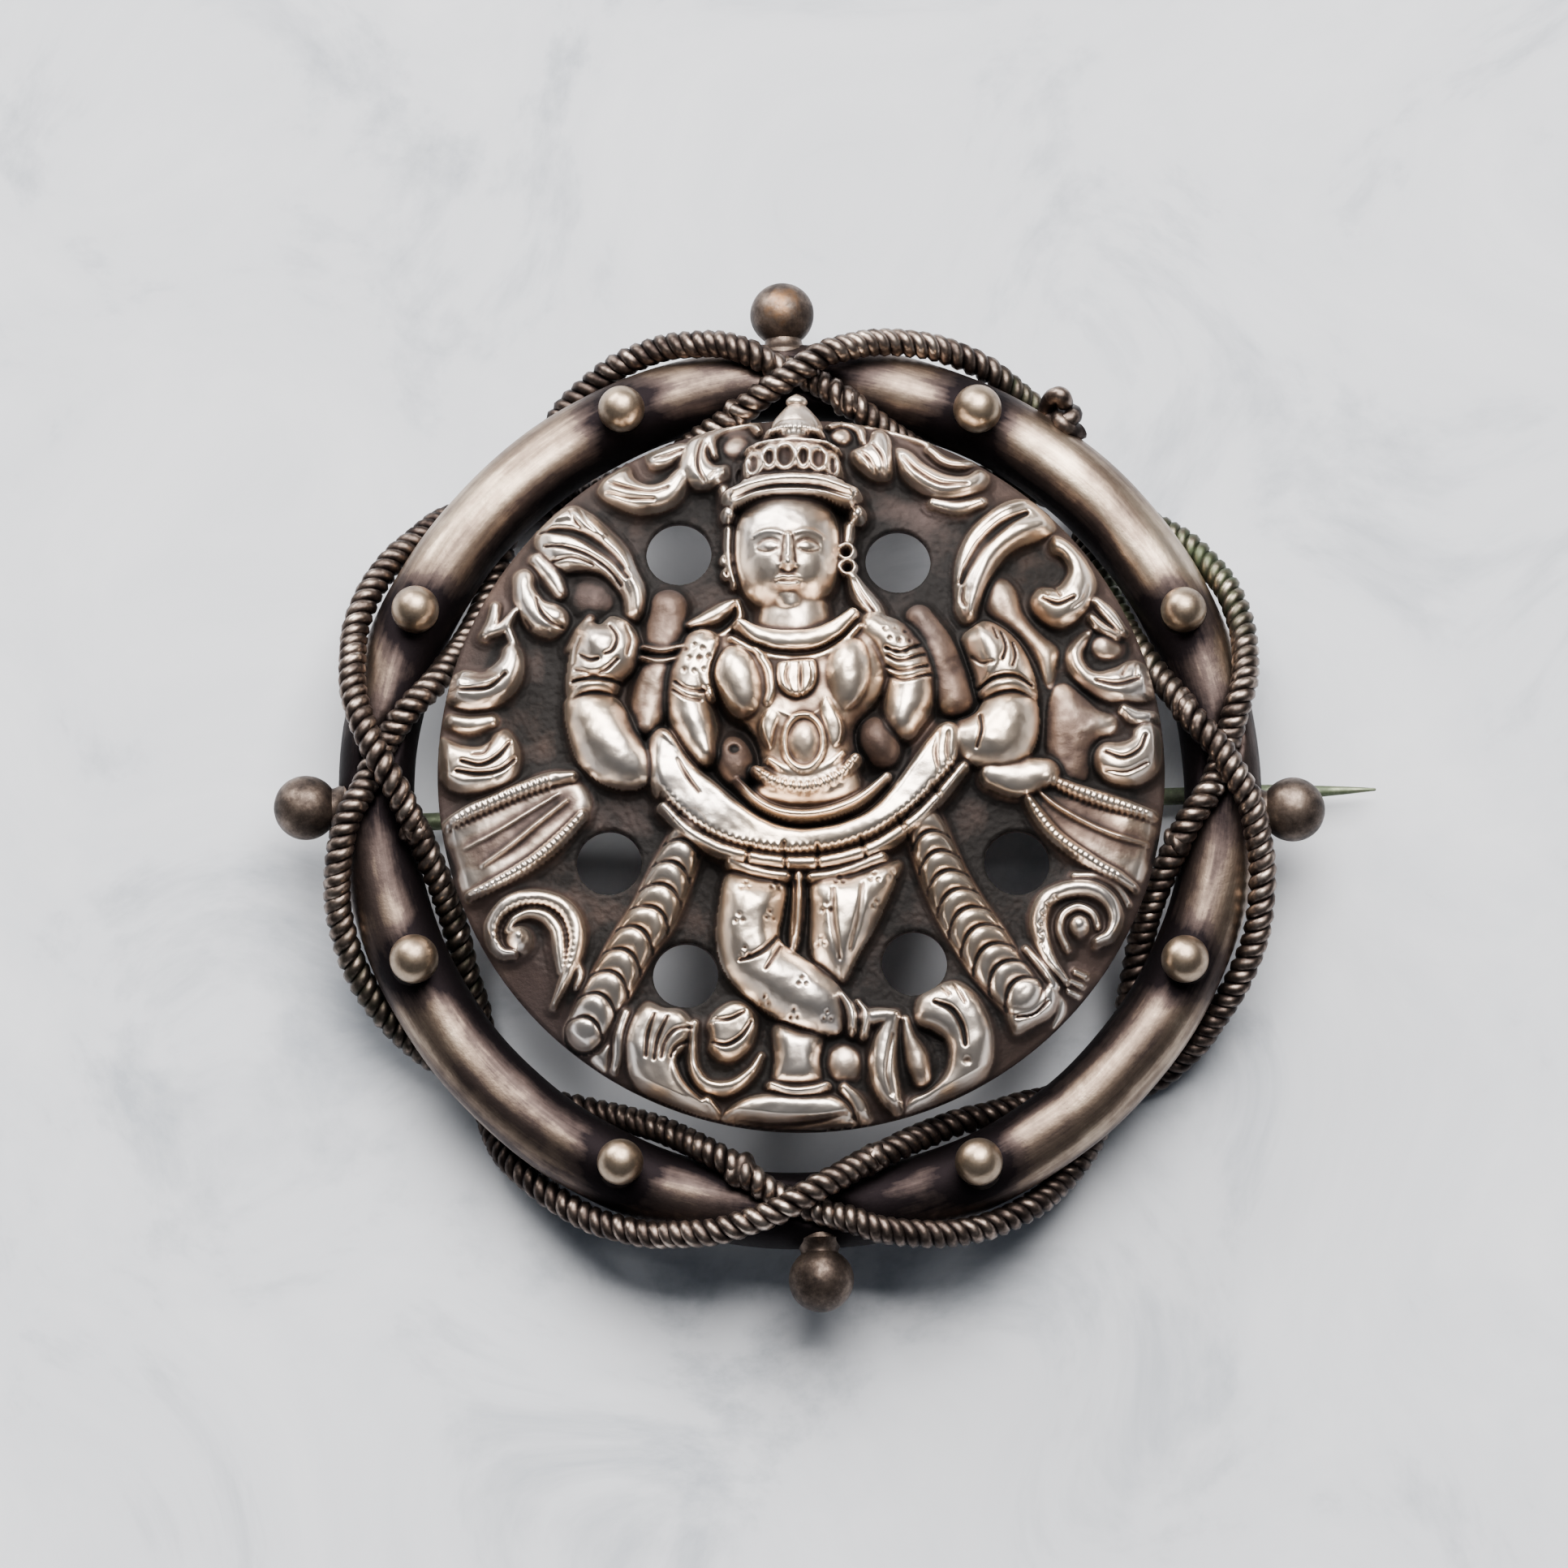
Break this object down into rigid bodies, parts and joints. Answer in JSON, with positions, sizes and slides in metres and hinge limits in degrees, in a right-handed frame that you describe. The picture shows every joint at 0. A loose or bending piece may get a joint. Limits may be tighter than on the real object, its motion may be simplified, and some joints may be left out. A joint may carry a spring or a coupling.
{
  "type": "brooch",
  "caption": "Round silver brooch: a pierced, domed relief disc with a standing deity figure, set in a tube ring with balls and twisted-wire ropes, with a hinged pin across the back.",
  "frame": {"origin": "middle of the ring, on the surface that the brooch's back lies on", "axes": "+Z out of the front, +Y towards the figure's head, +X to the picture right, where the pin's tip stands out"},
  "size_m": [0.051, 0.0486, 0.0123],
  "materials": {
    "ring_silver": "worn, tarnished silver",
    "rope_silver": "dark tarnished twisted silver wire",
    "relief_silver": "polished high spots over a blackened ground",
    "pin_metal": "dull wire with green tarnish"
  },
  "bodies": {
    "brooch": {"ring_frame": "ring_silver", "rope_under": "rope_silver", "rope_over": "rope_silver", "relief_disc": "relief_silver", "hinge_rivet": "pin_metal"},
    "pin_body": {"pin": "pin_metal"}
  },
  "joints": [
    {"name": "pin_hinge", "type": "hinge", "parent": "brooch", "child": "pin_body", "pos_m": [-0.01954, -0.00065, 0.0013], "axis": [-0.0349, 0.9994, 0], "range_deg": [0, 75]}
  ]
}
